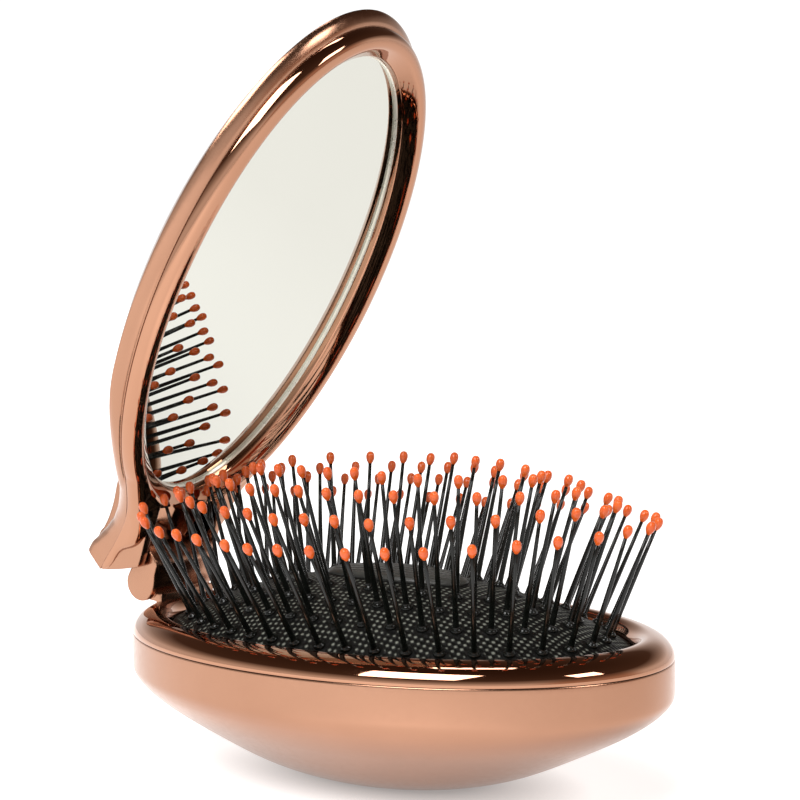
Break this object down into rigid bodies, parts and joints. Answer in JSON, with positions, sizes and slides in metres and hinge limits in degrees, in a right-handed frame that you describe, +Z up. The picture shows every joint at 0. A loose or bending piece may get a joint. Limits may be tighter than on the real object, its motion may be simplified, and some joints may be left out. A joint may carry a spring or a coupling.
{
  "type": "folding hairbrush with mirror",
  "caption": "Compact oval hairbrush whose pop-up bristle cushion drops into the base as the hinged mirror lid folds over it.",
  "frame": {"origin": "centre of the flat foot of the base, on the surface it stands on", "axes": "+X from the hinge end towards the free end of the base, +Z up, +Y across the base"},
  "size_m": [0.1109, 0.0746, 0.1296],
  "materials": {
    "satin_rose": "satin rose-gold plating",
    "gloss_rose": "high-gloss rose-gold plating",
    "steel": "bright",
    "spring_steel": "bright wire",
    "black_plastic": "matt",
    "rubber_black": "fine pebble grain",
    "nylon_black": "gloss nylon",
    "tip_orange": "gloss ball tips",
    "mirror_glass": "silvered",
    "foam_pad": "thin adhesive pad"
  },
  "bodies": {
    "base": {"base_shell": "satin_rose", "base_ring": "gloss_rose", "hinge_bracket": "satin_rose", "bracket_screws": "steel", "cushion_frame": "black_plastic", "frame_screws": "steel", "base_magnet": "steel", "balance_weight": "steel", "pop_spring": "spring_steel"},
    "lid": {"lid_back": "satin_rose", "lid_front": "gloss_rose", "mirror": "mirror_glass", "mirror_pad": "foam_pad", "hinge_pin": "steel", "lid_magnet": "steel"},
    "pad": {"plunger": "black_plastic", "crown_cap": "black_plastic", "cushion": "rubber_black", "tips_row1_sides": "tip_orange", "bristles_row1": "nylon_black", "bristles_row2": "nylon_black", "bristles_row3": "nylon_black", "bristles_row4": "nylon_black", "tips_row1": "tip_orange", "tips_row2": "tip_orange", "tips_row3": "tip_orange", "tips_row4": "tip_orange"}
  },
  "joints": [
    {"name": "lid_hinge", "type": "hinge", "parent": "base", "child": "lid", "pos_m": [-0.0565, 0, 0.0374], "axis": [0, -1, 0], "range_deg": [-62.4, 0]},
    {"name": "pad_slide", "type": "slide", "parent": "base", "child": "pad", "axis": [0, 0, -1], "range_m": [0, 0.012], "deforming": ["pop_spring", "cushion", "tips_row1_sides", "bristles_row1", "bristles_row2", "bristles_row3", "bristles_row4", "tips_row1", "tips_row2", "tips_row3", "tips_row4"]}
  ],
  "couplings": [
    {"joint": "pad_slide", "follows": "lid_hinge", "m_per_rad": -0.011018}
  ]
}
